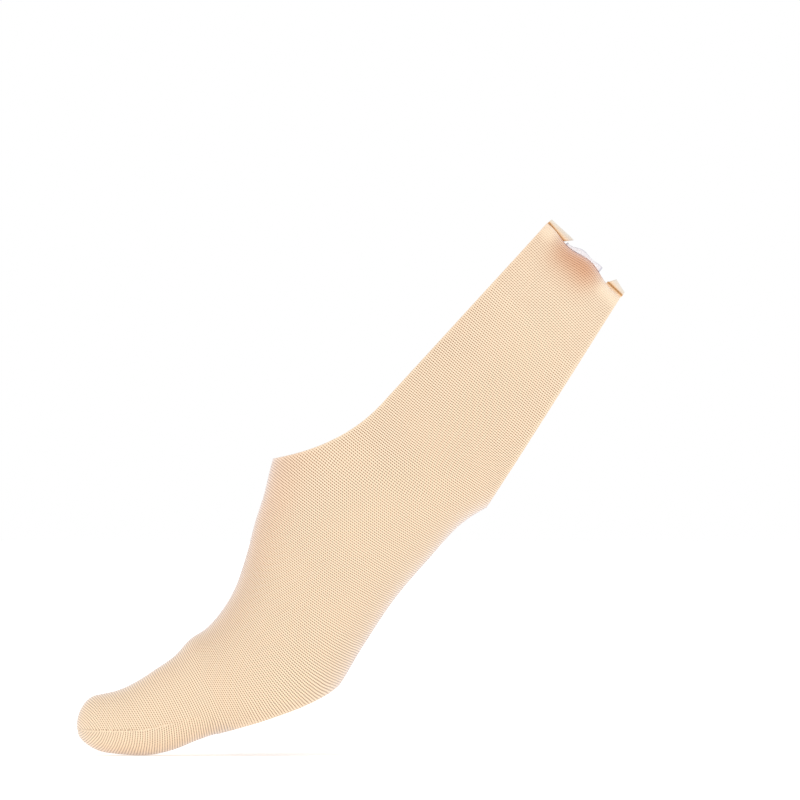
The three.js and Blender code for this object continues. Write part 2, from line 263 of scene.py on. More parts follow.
def meeting_height(stations):
    """The height share of the meeting line, which keeps its level over the toe cap."""
    height = by_station(stations, MEETING_HEIGHT)
    narrow, ahead = cap_shares(stations, height)
    lift = np.where(stations < 0, MEETING_LIFT * ahead / np.maximum(narrow, SMALL), 0.0)
    return np.minimum(height + lift, MEETING_TOP)


def lengths_along(points, axis):
    """Distance walked along an axis of a grid of points, from its first point."""
    steps = np.linalg.norm(np.diff(points, axis=axis), axis=-1)
    start = np.zeros_like(np.take(steps, [0], axis=axis))
    return np.concatenate([start, np.cumsum(steps, axis=axis)], axis=axis)


def even_stations():
    """Stations of the rings, evenly spread along the medial side."""
    fine = np.linspace(-1, LAST, FINE_RINGS)
    walked = lengths_along(form_points(fine, np.full_like(fine, math.pi / 2)), 0)
    return np.interp(np.linspace(0, walked[-1], RINGS), walked, fine)


def even_angles(stations):
    """Angles of each ring's points, evenly spread from the top to the meeting line and on to the top."""
    base = section_at(np.maximum(stations, 0))
    meeting = angle_at(base, meeting_height(stations))
    halves = []
    for start, end in ((np.zeros_like(meeting), meeting), (meeting, np.full_like(meeting, 2 * math.pi))):
        fine = lerp(start[:, None], end[:, None], np.linspace(0, 1, FINE_COLUMNS))
        sampled = np.clip(np.repeat(stations[:, None], FINE_COLUMNS, 1), WIDE_FROM, WIDE_TO)
        walked = lengths_along(form_points(sampled, fine), 1)
        walked = walked / walked[:, -1:]
        even = np.linspace(0, 1, HALF_COLUMNS + 1)
        halves.append(np.stack([np.interp(even, w, f) for w, f in zip(walked, fine)]))
    return np.concatenate([halves[0], halves[1][:, 1:]], axis=1)


# Knit coordinates: how far along its course, and across how many courses, each point of the cloth lies

def cap_frame(points):
    """How far points lie in front of the first section in the side view, and at what share of its height."""
    top_x, top_z, sole_x, sole_z = SECTIONS[0, :4]
    tall = math.hypot(top_x - sole_x, top_z - sole_z)
    up_x, up_z = (top_x - sole_x) / tall, (top_z - sole_z) / tall
    x, z = points[..., 0] - sole_x, points[..., 2] - sole_z
    return -(x * up_z - z * up_x), (x * up_x + z * up_z) / tall


def fan_distance(forward, up):
    """Distance from the point round which the cap's courses bend, or from where the bend begins."""
    top_x, top_z, sole_x, sole_z = SECTIONS[0, :4]
    lean = math.atan2(top_z - sole_z, sole_x - top_x) - FAN_FALL
    across, along = turned(FAN_AHEAD - forward, up - FAN_UP, lean)
    return np.hypot(across, np.maximum(along, 0))


def course_heights(stations, angles, points):
    """The course number times its pitch, from the top to the meeting line and for the rest of each ring."""
    inner = np.maximum(stations, 0)
    section = section_at(inner)
    height = ring_shares({k: v[:, None] for k, v in section.items()}, angles)[0]
    tall_x, tall_z = section["top_x"] - section["sole_x"], section["top_z"] - section["sole_z"]
    fall = np.degrees(np.arctan2(tall_z, -tall_x))
    tall = np.hypot(tall_x, tall_z)
    tilts = np.stack([by_station(inner, column) for column in COURSE_FALL.T], axis=1)
    leans = np.tan(np.radians(fall[:, None] - tilts))
    curve = np.linalg.solve(np.vander(COURSE_LEVELS), leans.T)
    whole = [np.polyint(curve[:, i]) for i in range(len(stations))]
    rise = np.stack([np.polyval(p, h) - np.polyval(p, COURSE_ZERO) for p, h in zip(whole, height)])
    medial = form_points(stations, np.full_like(stations, math.pi / 2))
    walked = lengths_along(medial * (1, DEPTH_SHARE, 1), 0)
    upper = walked[:, None] + tall[:, None] * rise
    below = np.clip(1 - height / np.maximum(meeting_height(stations), SMALL)[:, None], 0, 1)
    lean = by_station(stations, DART_LEAN)[:, None] * below
    cap = stations < 0
    first = np.argmin(cap)
    forward, level = cap_frame(points[cap])
    start = np.interp(0.0, stations, walked)
    cap_rise = np.polyval(whole[first], level) - np.polyval(whole[first], COURSE_ZERO)
    on_first = start + tall[first] * cap_rise
    up = tall[first] * level
    upper[cap] = on_first + fan_distance(forward, up) - fan_distance(0.0, up)
    under = level[:, HALF_COLUMNS:HALF_COLUMNS + 1] - level
    lean[cap] = DART_LEAN[0] * (1 + FAN_LEAN * forward) * np.clip(under / MEETING_HEIGHT[0], 0, 1)
    return upper, upper + lean


def knit_coordinates(stations, angles, points):
    """Two numbers for each point on each half of the rings: eyes along the course, and courses."""
    upper, lower = course_heights(stations, angles, points)
    halves = []
    for part, values in ((slice(0, HALF_COLUMNS + 1), upper), (slice(HALF_COLUMNS, None), lower)):
        p, v = points[:, part], values[:, part]
        p_ring, p_row = np.gradient(p, axis=1), np.gradient(p, axis=0)
        v_ring, v_row = np.gradient(v, axis=1), np.gradient(v, axis=0)
        line = p_ring * v_row[..., None] - p_row * v_ring[..., None]
        line = line / np.maximum(np.linalg.norm(line, axis=-1, keepdims=True), TINY)
        step = ((p[:, 1:] - p[:, :-1]) * (line[:, 1:] + line[:, :-1]) / 2).sum(-1)
        halves.append(np.concatenate([np.zeros((len(p), 1)), np.cumsum(step, axis=1)], axis=1))
    drift = points[0, 0, 1] - points[:, :1, 1]
    medial = halves[0] + drift
    lateral = halves[1] - halves[1][:, -1:] + drift
    first = np.stack([medial / EYE_PITCH, upper[:, :HALF_COLUMNS + 1] / COURSE_PITCH], axis=-1)
    second = np.stack([lateral / EYE_PITCH, lower[:, HALF_COLUMNS:] / COURSE_PITCH], axis=-1)
    return first, second


# Openings: each function is above zero where the cloth is cut away

def quadratic(start, bend, end):
    share = np.linspace(0, 1, CURVE_STEPS)[:, None]
    start, bend, end = (np.array(p, float) for p in (start, bend, end))
    return (1 - share) ** 2 * start + 2 * share * (1 - share) * bend + share ** 2 * end


def past(start, end, distance):
    start, end = np.array(start, float), np.array(end, float)
    return end + (end - start) / np.linalg.norm(end - start) * distance


def right_of(points, start, end):
    """Distance to the right of the line from start to end, in the side view."""
    line = np.array(end, float) - start
    line = line / np.linalg.norm(line)
    return (points[:, 0] - start[0]) * line[1] - (points[:, 2] - start[1]) * line[0]


def ankle_cut(points):
    curve = quadratic(ANKLE_FRONT, ANKLE_BEND, ANKLE_RISE)
    curve = np.vstack([curve, past(ANKLE_RISE, ANKLE_BACK, BEYOND)])
    return points[:, 2] - np.interp(points[:, 0], curve[:, 0], curve[:, 1])


def heel_cut(points):
    return right_of(points, HEEL_SOLE, HEEL_BACK)


def ball_cut(points):
    curve = quadratic(BALL_TOE, BALL_BEND, BALL_SOLE)
    curve = np.vstack([curve, past(BALL_BEND, BALL_SOLE, BEYOND / 2)])
    under = np.interp(points[:, 0], curve[:, 0], curve[:, 1]) - points[:, 2]
    return np.minimum(under, points[:, 0] - BALL_TOE[0])


def smooth_max(first, second, radius):
    """The larger of two levels, with the corner where they meet rounded off."""
    blend = np.clip(0.5 + (first - second) / (2 * radius), 0, 1)
    return lerp(second, first, blend) + radius * blend * (1 - blend)


def web_cut(points):
    behind_rim = right_of(points, WEB_LOW, WEB_HIGH)
    below_front = WEB_TOP - points[:, 2]
    sides = (
        points[:, 1] - WEB_MEDIAL,
        -smooth_max(-behind_rim, -below_front, MOUTH_ROUNDING),
        WEB_BACK - points[:, 0],
    )
    return np.minimum.reduce(sides)


def front_cut(points):
    along, above = turned(points[:, 0], points[:, 2], FRONT_SLOPE)
    along = along + FRONT_LEAN * above
    corner = (FRONT_WEB_ALONG, FRONT_WEB_ACROSS)
    start = (FRONT_WEB_ALONG - FRONT_WEB_RADIUS, FRONT_WEB_ACROSS)
    end = (FRONT_WEB_ALONG + FRONT_WEB_BACK, FRONT_WEB_ACROSS + FRONT_WEB_RADIUS)
    edge = np.vstack([quadratic(start, corner, end), (FRONT_OUTER_ALONG, FRONT_OUTER_ACROSS)])
    ahead = np.interp(points[:, 1], edge[:, 1], edge[:, 0]) - along
    return np.minimum(ahead, points[:, 1] - FRONT_WEB_ACROSS)


def mouth_cut(points):
    """The ball, the toe pocket's rim and the front edge as one opening with round corners."""
    below = smooth_max(ball_cut(points), web_cut(points), MOUTH_ROUNDING)
    across = (FRONT_WEB_ACROSS, FRONT_OUTER_ACROSS)
    rounding = np.interp(points[:, 1], across, (MOUTH_ROUNDING, OUTER_ROUNDING))
    return smooth_max(below, front_cut(points), rounding)


OPENINGS = (ankle_cut, heel_cut, mouth_cut)


def clip(points, faces, cut):
    """Cuts the faces along the line where cut is zero and keeps those below. A corner is (point, u, v)."""
    level = cut(points)
    level[np.abs(level) < SNAP] = 0
    points = list(points)
    crossings = {}
    kept = []
    for face in faces:
        heights = [level[corner[0]] for corner in face]
        if max(heights) <= 0:
            kept.append(face)
            continue
        if min(heights) >= 0:
            continue
        clipped = []
        for k, here in enumerate(face):
            there = face[(k + 1) % len(face)]
            a, b = level[here[0]], level[there[0]]
            if a <= 0:
                clipped.append(here)
            if a * b < 0:
                share = a / (a - b)
                key = (min(here[0], there[0]), max(here[0], there[0]))
                if key not in crossings:
                    crossings[key] = len(points)
                    points.append(lerp(points[here[0]], points[there[0]], share))
                clipped.append((
                    crossings[key],
                    lerp(here[1], there[1], share),
                    lerp(here[2], there[2], share),
                ))
        kept.append(clipped)
    return np.array(points), kept


# Closed cloth from an outer and an inner face

def shell(points, faces):
    """Closes a sheet with a round rim. Columns of points: outer place, inner place, then further values."""
    used = sorted({corner[0] for face in faces for corner in face})
    number = {old: new for new, old in enumerate(used)}
    points = points[used]
    count = len(points)
    faces = [[(number[c[0]], *c[1:]) for c in face] for face in faces]
    outer, inner, values = points[:, :3], points[:, 3:6], points[:, 6:]
    edges = {}
    for face in faces:
        for here, there in zip(face, face[1:] + face[:1]):
            edges[here[0], there[0]] = (here, there)
    rim = {key: ends for key, ends in edges.items() if key[::-1] not in edges}
    through = outer - inner
    thick = np.linalg.norm(through, axis=1, keepdims=True)
    normal = through / np.maximum(thick, TINY)
    outward = np.zeros_like(outer)
    for a, b in rim:
        away = np.cross(outer[b] - outer[a], normal[a] + normal[b])
        outward[[a, b]] += away / max(np.linalg.norm(away), TINY)
    outward = outward / np.maximum(np.linalg.norm(outward, axis=1, keepdims=True), TINY)
    on_rim = sorted({point for key in rim for point in key})
    place = {point: k for k, point in enumerate(on_rim)}
    rows = [outer, inner]
    middle = (outer + inner)[on_rim] / 2
    for step in range(1, RIM_STEPS):
        turn = math.pi * step / RIM_STEPS
        across = normal[on_rim] * math.cos(turn) + outward[on_rim] * RIM_BULGE * math.sin(turn)
        rows.append(middle + across * thick[on_rim] / 2)
    all_values = np.vstack([values, values] + [values[on_rim]] * (RIM_STEPS - 1))

    def at(point, step):
        if step == 0:
            return point
        if step == RIM_STEPS:
            return count + point
        return 2 * count + (step - 1) * len(on_rim) + place[point]

    closed = [list(face) for face in faces]
    closed += [[(count + c[0], *c[1:]) for c in reversed(face)] for face in faces]
    for here, there in rim.values():
        for step in range(RIM_STEPS):
            corners = ((there, step), (here, step), (here, step + 1), (there, step + 1))
            closed.append([(at(c[0], s), *c[1:]) for c, s in corners])
    return np.vstack(rows), all_values, closed


def mesh_object(name, points, faces, material, values=None):
    """A smooth mesh object from points in millimetres, faces of (point, u, v) corners and named values."""
    mesh = bpy.data.meshes.new(name)
    mesh.from_pydata((points * MM).tolist(), [], [[corner[0] for corner in face] for face in faces])
    layer = mesh.uv_layers.new(name="knit")
    layer.data.foreach_set("uv", [x for face in faces for corner in face for x in corner[1:]])
    for key, column in (values or {}).items():
        mesh.attributes.new(key, "FLOAT", "POINT").data.foreach_set("value", column.astype(np.float32))
    mesh.polygons.foreach_set("use_smooth", [True] * len(mesh.polygons))
    mesh.materials.append(material)
    mesh.validate()
    made = bpy.data.objects.new(name, mesh)
    bpy.context.scene.collection.objects.link(made)
    return made


def grid_shares(rows, columns):
    """Shares from 0 to 1 along the rows and along the columns of a grid."""
    return np.meshgrid(np.linspace(0, 1, rows), np.linspace(0, 1, columns), indexing="ij")


def quad(row, column):
    """Row and column of each corner of a face of a grid."""
    return ((row, column), (row, column + 1), (row + 1, column + 1), (row + 1, column))


def grid_faces(u, v):
    """Faces over a grid of points, row by row, with u and v for each point."""
    rows, columns = u.shape
    faces = []
    for r in range(rows - 1):
        for c in range(columns - 1):
            faces.append([(i * columns + j, u[i, j], v[i, j]) for i, j in quad(r, c)])
    return faces


# Shader nodes

NOISE_SPREAD = (0.3, 0.7)  # the usual range of a noise texture


class Shader:
    """Adds nodes to one material and joins them."""

    def __init__(self, name):
        self.material = bpy.data.materials.new(name)
        self.material.use_nodes = True
        self.tree = self.material.node_tree
        self.surface = self.tree.nodes["Principled BSDF"]

    def add(self, kind, inputs=(), **settings):
        node = self.tree.nodes.new(kind)
        for key, value in settings.items():
            setattr(node, key, value)
        for key, value in dict(inputs).items():
            self.put(node.inputs[key], value)
        return node

    def put(self, socket, value):
        if isinstance(value, bpy.types.NodeSocket):
            self.tree.links.new(value, socket)
        else:
            socket.default_value = value

    def math(self, operation, *values):
        node = self.add("ShaderNodeMath", operation=operation)
        for socket, value in zip(node.inputs, values):
            self.put(socket, value)
        return node.outputs[0]

    def plus(self, first, second):
        return self.math("ADD", first, second)

    def times(self, first, second):
        return self.math("MULTIPLY", first, second)

    def waves(self, value, pitch, kind="COSINE"):
        return self.math(kind, self.times(value, 2 * math.pi / pitch))

    def ramp(self, value, low, high, to_low=0.0, to_high=1.0):
        inputs = {"Value": value, "From Min": low, "From Max": high, "To Min": to_low, "To Max": to_high}
        return self.add("ShaderNodeMapRange", inputs, interpolation_type="SMOOTHSTEP").outputs["Result"]

    def mix(self, share, first, second, blend="MIX"):
        node = self.add("ShaderNodeMix", data_type="RGBA", blend_type=blend)
        for socket, value in zip((node.inputs[0], node.inputs[6], node.inputs[7]), (share, first, second)):
            self.put(socket, value)
        return node.outputs[2]

    def value(self, name):
        return self.add("ShaderNodeAttribute", attribute_name=name).outputs["Fac"]

    def knit_place(self):
        """The two knit coordinates."""
        uv = self.add("ShaderNodeUVMap", uv_map="knit").outputs["UV"]
        split = self.add("ShaderNodeSeparateXYZ", {"Vector": uv}).outputs
        return split["X"], split["Y"]

    def noise(self, scale, detail=2.0, roughness=0.5):
        place = self.add("ShaderNodeTexCoord").outputs["Object"]
        inputs = {"Vector": place, "Scale": scale, "Detail": detail, "Roughness": roughness}
        return self.add("ShaderNodeTexNoise", inputs).outputs["Fac"]

    def uneven(self, scale, low=0.0, high=1.0, detail=2.0, spread=NOISE_SPREAD):
        """Noise that runs from low to high."""
        return self.ramp(self.noise(scale, detail), *spread, low, high)

    def bump(self, height, strength, depth):
        inputs = {"Height": height, "Strength": strength, "Distance": depth}
        return self.add("ShaderNodeBump", inputs).outputs["Normal"]

    def finish(self, **constants):
        for key, value in constants.items():
            self.put(self.surface.inputs[key.replace("_", " ")], value)
        return self.material


# Looks of the knit. Scales of noise are per metre, and a share is how much of its tint shows

EYE_WANDER, EYE_WANDER_SCALE = 0.1, 260.0  # how unevenly the eyes lie along their course
COURSE_WANDER, COURSE_WANDER_SCALE = 0.07, 190.0  # and the courses beside each other
EYE_DEPTH, CREST_DEPTH = (-0.15, 0.9), (-0.25, -0.95)  # where the thread turns to an eye and to a crest
LIGHT_THREAD = (1.0, 0.87, 0.66, 1.0)
CREST_HIGHLIGHT_SHARE, SEAM_SHARE = 0.35, 0.2  # of the light thread: a painted highlight on the crests, and the band beside the toe seam
CLOUD_TINT, CLOUD_SHARE = (0.95, 0.66, 0.44, 1.0), 0.1
CLOUD_SCALE, CLOUD_DETAIL, CLOUD_SPREAD = 55.0, 3.0, (0.25, 0.75)
PATCH_TINT, PATCH_SHARE, PATCH_SCALE = (0.7, 0.5, 0.33, 1.0), 0.08, 420.0
CORNER_LIGHT_TINT, CORNER_LIGHT_SHARE = (0.98, 0.82, 0.59, 1.0), 0.3  # painted light on the strap's smooth, flat corners
TOP_SHADE_TINT = (0.99, 0.89, 0.86, 1.0)  # painted shade: the top is tinted a little darker and warmer
FOLD_SHADE_TINT = (0.88, 0.67, 0.5, 1.0)  # painted shade along the line where the strap turns in to its back seam
FOLD_SHADE_SPREAD = (0.4, 1.0)
PLAIN_SEAM, PLAIN_RIM, PLAIN_CORNER = 0.7, 0.5, 0.7  # how far the eyes close there
SEAM_BAND = (0.08, 0.36)  # distances over which the toe seam's plain band ends
SEAM_DOT_PITCH, SEAM_DOT_OFFSET, SEAM_DOT_SHARE = 1.35, 0.45, 0.85
SEAM_DOT_ALONG, SEAM_DOT_ACROSS = (0.0, 0.8), (0.1, 0.38)
SEAM_DOT_FADE, SEAM_DOT_LEAST = (22.0, 36.0), 0.15  # run along the toe seam over which its dots fade
SEAM_DOT_GAPS, SEAM_DOT_GAP_SCALE = (0.3, 0.6), 620.0
YARN_SCALE, YARN_DETAIL, YARN_ROUGHNESS = 2600.0, 3.0, 0.65
COURSE_RELIEF, YARN_RELIEF, RELIEF_DEPTH = -0.5, 0.35, 0.22 * MM
KNIT_ROUGHNESS = (0.78, 0.95)


def seam_dots(s):
    """The row of dots beside the toe seam, uneven and fading along it."""
    beside = s.math("ABSOLUTE", s.math("SUBTRACT", s.value("seam"), SEAM_DOT_OFFSET))
    along = s.ramp(s.waves(s.value("run"), SEAM_DOT_PITCH), *SEAM_DOT_ALONG)
    row = s.times(along, s.ramp(beside, *SEAM_DOT_ACROSS, 1.0, 0.0))
    fading = s.ramp(s.value("run"), *SEAM_DOT_FADE, 1.0, SEAM_DOT_LEAST)
    return s.times(row, s.times(fading, s.uneven(SEAM_DOT_GAP_SCALE, spread=SEAM_DOT_GAPS)))


def knit_material(name, thread, eye_shade, shade, edge, edge_share, eye_share, relief):
    """Fine courses of thread with small eyes between them, a little uneven, as in an elastic mesh."""
    s = Shader(name)
    along, across = s.knit_place()
    u = s.plus(along, s.uneven(EYE_WANDER_SCALE, -EYE_WANDER, EYE_WANDER))
    v = s.plus(across, s.uneven(COURSE_WANDER_SCALE, -COURSE_WANDER, COURSE_WANDER))
    courses = s.waves(v, pitch=1)
    eyes = s.times(s.waves(u, pitch=1), s.waves(v, pitch=2))
    depth = s.plus(s.times(courses, 1 - eye_share), s.times(eyes, eye_share))
    by_seam = s.ramp(s.math("ABSOLUTE", s.value("seam")), *SEAM_BAND, 1.0, 0.0)
    rim, corner = s.value("rim"), s.value("corner")
    plain = s.math("MAXIMUM", s.times(by_seam, PLAIN_SEAM), s.times(rim, PLAIN_RIM))
    plain = s.math("MAXIMUM", plain, s.times(corner, PLAIN_CORNER))
    # the eyes are the knit's holes, painted dark as the shade seen through them
    hole = s.times(s.ramp(depth, *EYE_DEPTH), s.math("SUBTRACT", 1.0, plain))
    hole = s.times(hole, s.value("open"))
    crest_highlight = s.ramp(depth, *CREST_DEPTH)
    clouds = s.uneven(CLOUD_SCALE, detail=CLOUD_DETAIL, spread=CLOUD_SPREAD)
    base = s.mix(hole, thread, eye_shade)
    # painted highlight on the thread's crests
    base = s.mix(s.times(crest_highlight, CREST_HIGHLIGHT_SHARE), base, LIGHT_THREAD)
    base = s.mix(s.times(clouds, CLOUD_SHARE), base, CLOUD_TINT)
    base = s.mix(s.times(s.uneven(PATCH_SCALE), PATCH_SHARE), base, PATCH_TINT)
    # painted light on the strap's corners
    base = s.mix(s.times(corner, CORNER_LIGHT_SHARE), base, CORNER_LIGHT_TINT)
    base = s.mix(s.times(rim, edge_share), base, edge)
    base = s.mix(s.times(by_seam, SEAM_SHARE), base, LIGHT_THREAD)
    # the dots beside the toe seam are holes too, painted with the same shade
    base = s.mix(s.times(seam_dots(s), SEAM_DOT_SHARE), base, eye_shade)
    # painted shade along the top
    base = s.mix(s.value("top"), base, TOP_SHADE_TINT, "MULTIPLY")
    base = s.mix(s.value("shade"), base, shade, "MULTIPLY")
    # painted shade where the strap turns in to its back seam
    base = s.mix(s.ramp(s.value("fold_shade"), *FOLD_SHADE_SPREAD), base, FOLD_SHADE_TINT, "MULTIPLY")
    yarn = s.noise(YARN_SCALE, YARN_DETAIL, YARN_ROUGHNESS)
    height = s.plus(s.times(depth, COURSE_RELIEF), s.times(yarn, YARN_RELIEF))
    return s.finish(
        Base_Color=base,
        Roughness=s.ramp(yarn, *NOISE_SPREAD, *KNIT_ROUGHNESS),
        Normal=s.bump(height, relief, RELIEF_DEPTH),
        Specular_IOR_Level=0.25,
        Sheen_Weight=1.0,
        Sheen_Roughness=0.36,
        Sheen_Tint=(1.0, 0.96, 1.0, 1.0),
    )


# Looks of the sewing thread and the ribbon

TWIST, TWIST_DARK = 3.0, 0.72  # how steeply the strands wind, and how dark it is between them
TWIST_RELIEF, TWIST_DEPTH = 0.5, 0.05 * MM
THREAD_GRAIN, THREAD_ROUGHNESS = 3000.0, (0.55, 0.8)
WARP_PITCH, WEFT_PITCH, WARP_SHARE = 0.22, 0.35, 0.65
WEAVE_TINT, WEAVE_SHARE = (0.78, 0.72, 0.73, 1.0), 0.2
WEAVE_RELIEF, WEAVE_DEPTH = 0.03, 0.03 * MM
# painted grey shade on the ribbon's edges and crease, where it turns away
RIBBON_EDGE_SHADE = (0.48, 0.475, 0.55, 1.0)
RIBBON_GRAIN, RIBBON_ROUGHNESS = 900.0, (0.55, 0.7)
RIBBON_SCATTER = 0.6 * MM


def thread_material(name, colour):
    """Twisted sewing thread."""
    s = Shader(name)
    along, around = s.knit_place()
    twist = s.math("SINE", s.plus(s.times(along, TWIST), around))
    dark = tuple(TWIST_DARK * c for c in colour[:3]) + (1.0,)
    return s.finish(
        Base_Color=s.mix(s.ramp(twist, -1.0, 1.0), colour, dark),
        Roughness=s.uneven(THREAD_GRAIN, *THREAD_ROUGHNESS),
        Normal=s.bump(twist, TWIST_RELIEF, TWIST_DEPTH),
        Specular_IOR_Level=0.35,
        Sheen_Weight=0.15,
    )


def satin_material(name, colour):
    """Thin satin ribbon, with a fine weave and painted grey shade on its woven edges and crease."""
    s = Shader(name)
    across, along = s.knit_place()
    warp, weft = s.waves(across, WARP_PITCH, "SINE"), s.waves(along, WEFT_PITCH, "SINE")
    weave = s.plus(s.times(warp, WARP_SHARE), s.times(weft, 1 - WARP_SHARE))
    base = s.mix(s.ramp(weave, -1.0, 1.0, 0.0, WEAVE_SHARE), colour, WEAVE_TINT)
    return s.finish(
        Base_Color=s.mix(s.value("edge"), base, RIBBON_EDGE_SHADE),
        Roughness=s.uneven(RIBBON_GRAIN, *RIBBON_ROUGHNESS),
        Normal=s.bump(weave, WEAVE_RELIEF, WEAVE_DEPTH),
        Specular_IOR_Level=0.2,
        Subsurface_Weight=0.6,
        Subsurface_Radius=(RIBBON_SCATTER,) * 3,
        Subsurface_Scale=1.0,
    )


# The toe seam: a shallow groove with a row of fine stitches in it

SEAM_GROOVE = 0.3  # depth as a share of the wall
SEAM_GROOVE_WIDE = 0.55
SEAM_START, SEAM_END = -0.9, 3.7
SEAM_FAR = 9.0  # the longest distance to the seam that is followed
SEAM_FADE = 0.5  # stations over which the seam runs out
SEAM_POINTS = 120


def seam_distance(stations, points):
    """Distance above the toe seam round the ring, growing past its end, and the run along the seam."""
    walked = lengths_along(points, 1)
    away = walked[:, HALF_COLUMNS:HALF_COLUMNS + 1] - walked
    past_end = np.clip((stations - SEAM_END + SEAM_FADE) / SEAM_FADE, 0, 1)
    away = away + np.where(away < 0, -SEAM_FAR, SEAM_FAR) * past_end[:, None]
    run = lengths_along(points[:, HALF_COLUMNS], 0)
    return np.clip(away, -SEAM_FAR, SEAM_FAR), np.repeat(run[:, None], points.shape[1], 1)


def seam_line():
    """Points of the toe seam on the floor of its groove, and the directions out of the cloth."""
    stations = np.linspace(SEAM_START, SEAM_END - SEAM_FADE / 2, SEAM_POINTS)
    section = section_at(np.maximum(stations, 0))
    angle = angle_at(section, meeting_height(stations))
    outer, inner = form_points(stations, angle), form_points(stations, angle, WALL)
    out = (outer - inner) / np.linalg.norm(outer - inner, axis=1, keepdims=True)
    return outer - out * SEAM_GROOVE * WALL, out


THREAD_SIDES = 6
STITCH_POINTS = 5
STITCH_ENDS = 0.55  # how thick a stitch is at its ends, as a share of its middle


def stitch_run(line, out, pitch, length, radius, lift):
    """A row of short stitches along a line, each a thin round thread that dips in at both its ends."""
    walked = lengths_along(line, 0)
    points, faces = [], []
    for start in np.arange(0, walked[-1] - length, pitch):
        at = np.linspace(start, start + length, STITCH_POINTS)
        path = np.stack([np.interp(at, walked, line[:, k]) for k in range(3)], axis=1)
        up = np.stack([np.interp(at, walked, out[:, k]) for k in range(3)], axis=1)
        hump = np.sin(math.pi * np.linspace(0, 1, STITCH_POINTS))
        path = path + up * (lift * (2 * hump - 1))[:, None]
        side = np.cross(np.gradient(path, axis=0), up)
        side = side / np.linalg.norm(side, axis=1, keepdims=True)
        base = len(points)
        for k in range(STITCH_POINTS):
            thick = radius * lerp(STITCH_ENDS, 1, hump[k])
            for turn in np.arange(THREAD_SIDES) * 2 * math.pi / THREAD_SIDES:
                points.append(path[k] + thick * (math.cos(turn) * side[k] + math.sin(turn) * up[k]))
        for k in range(STITCH_POINTS - 1):
            for j in range(THREAD_SIDES):
                corners = ((k, j), (k + 1, j), (k + 1, j + 1), (k, j + 1))
                face = []
                for r, c in corners:
                    point = base + r * THREAD_SIDES + c % THREAD_SIDES
                    face.append((point, at[r] / radius, 2 * math.pi * c / THREAD_SIDES))
                faces.append(face)
        for k, order in ((0, 1), (STITCH_POINTS - 1, -1)):
            ring = [(base + k * THREAD_SIDES + j, 0.0, 0.0) for j in range(THREAD_SIDES)]
            faces.append(ring[::order])
    return np.array(points), faces


# The sleeve

BACK_SHADE_AT = (83.9, 98.5)  # the middle of the darker patch at the back seam, in the side view
BACK_SHADE_LONG, BACK_SHADE_WIDE = 10.3, 8.0
BACK_SEAM_SLOPE = math.radians(-45)
CORNER_START, CORNER_FADE, CORNER_DEEP = 10.0, 3.0, 5.0  # the corners along and across that seam
RIM_BAND = 0.9  # width of the denser cut edge
TOP_START = 0.72  # share of a section's height at which its top begins
FOLD_SHADE_STATIONS = 0.12  # how far before the back seam its painted fold shade begins


def by_back_seam(points):
    """Places of points along and across the back seam, from the middle of its patch."""
    x, z = points[:, 0] - BACK_SHADE_AT[0], points[:, 2] - BACK_SHADE_AT[1]
    return turned(x, z, BACK_SEAM_SLOPE)


def back_shade(points):
    """How much each point lies in the hollow turn of the strap between the seam's two corners, 0 to 1."""
    along, across = by_back_seam(points)
    return np.exp(-(along / BACK_SHADE_LONG) ** 4 - (across / BACK_SHADE_WIDE) ** 2)


def corner_nearness(points):
    """How much each point lies in the smooth corners of the strap, beside the patch, 0 to 1."""
    along, across = by_back_seam(points)
    beside = np.clip((np.abs(along) - CORNER_START) / CORNER_FADE, 0, 1)
    return beside * np.clip((across + CORNER_DEEP) / CORNER_FADE, 0, 1)


def rim_nearness(points):
    """1 on a cut edge, falling to 0 at the width of its band."""
    inside = -np.max([cut(points) for cut in OPENINGS], axis=0)
    return np.clip(1 - inside / RIM_BAND, 0, 1)


def sleeve_shell():
    """The cloth of the sleeve, with seam, run and open values, and painted shade at its top and fold."""
    stations = even_stations()
    angles = even_angles(stations)
    wide = angles.shape[1]
    grid = np.repeat(stations[:, None], wide, 1)
    outer = form_points(grid, angles)
    inner = form_points(grid, angles, WALL)
    first, second = knit_coordinates(stations, angles, outer)
    seam, run = seam_distance(stations, outer)
    groove = SEAM_GROOVE * np.exp(-(seam / SEAM_GROOVE_WIDE) ** 2)
    outer = outer - (outer - inner) * groove[..., None]
    outer[:, -1] = outer[:, 0]  # each ring ends where it starts
    height = ring_shares(section_at(np.maximum(grid, 0)), angles)[0]
    # how much painted shade along the top each point takes
    near_top = np.clip((height - TOP_START) / (1 - TOP_START), 0, 1)
    top = near_top ** 2 * (3 - 2 * near_top) * by_station(grid, TOP_SHADE_SHARE)
    # painted shade on the last stretch before the back seam
    fold_shade = np.clip((grid - LAST + FOLD_SHADE_STATIONS) / FOLD_SHADE_STATIONS, 0, 1)
    eyes = by_station(grid, MESH_OPEN)
    values = np.stack([seam, run, top, fold_shade, eyes], axis=-1)
    flat = np.concatenate([outer, inner, values], axis=-1).reshape(RINGS * wide, -1)
    places = np.round(flat[:, :3], SAME_DIGITS)
    _, keep, same = np.unique(places, axis=0, return_index=True, return_inverse=True)
    same = same.reshape(RINGS, wide)
    faces = []
    for r in range(RINGS - 1):
        for c in range(wide - 1):
            knit, shift = (first, 0) if c < HALF_COLUMNS else (second, HALF_COLUMNS)
            face = [(same[i, j], *knit[i, j - shift]) for i, j in quad(r, c)]
            distinct = [k for k, corner in enumerate(face) if corner[0] != face[k - 1][0]]
            if len(distinct) > 2:
                faces.append([face[k] for k in distinct])
    points = flat[keep]
    for cut in OPENINGS:
        points, faces = clip(points, faces, cut)
    return shell(points, faces)


# The seam allowance at the strap's two corners: two layers of cloth each

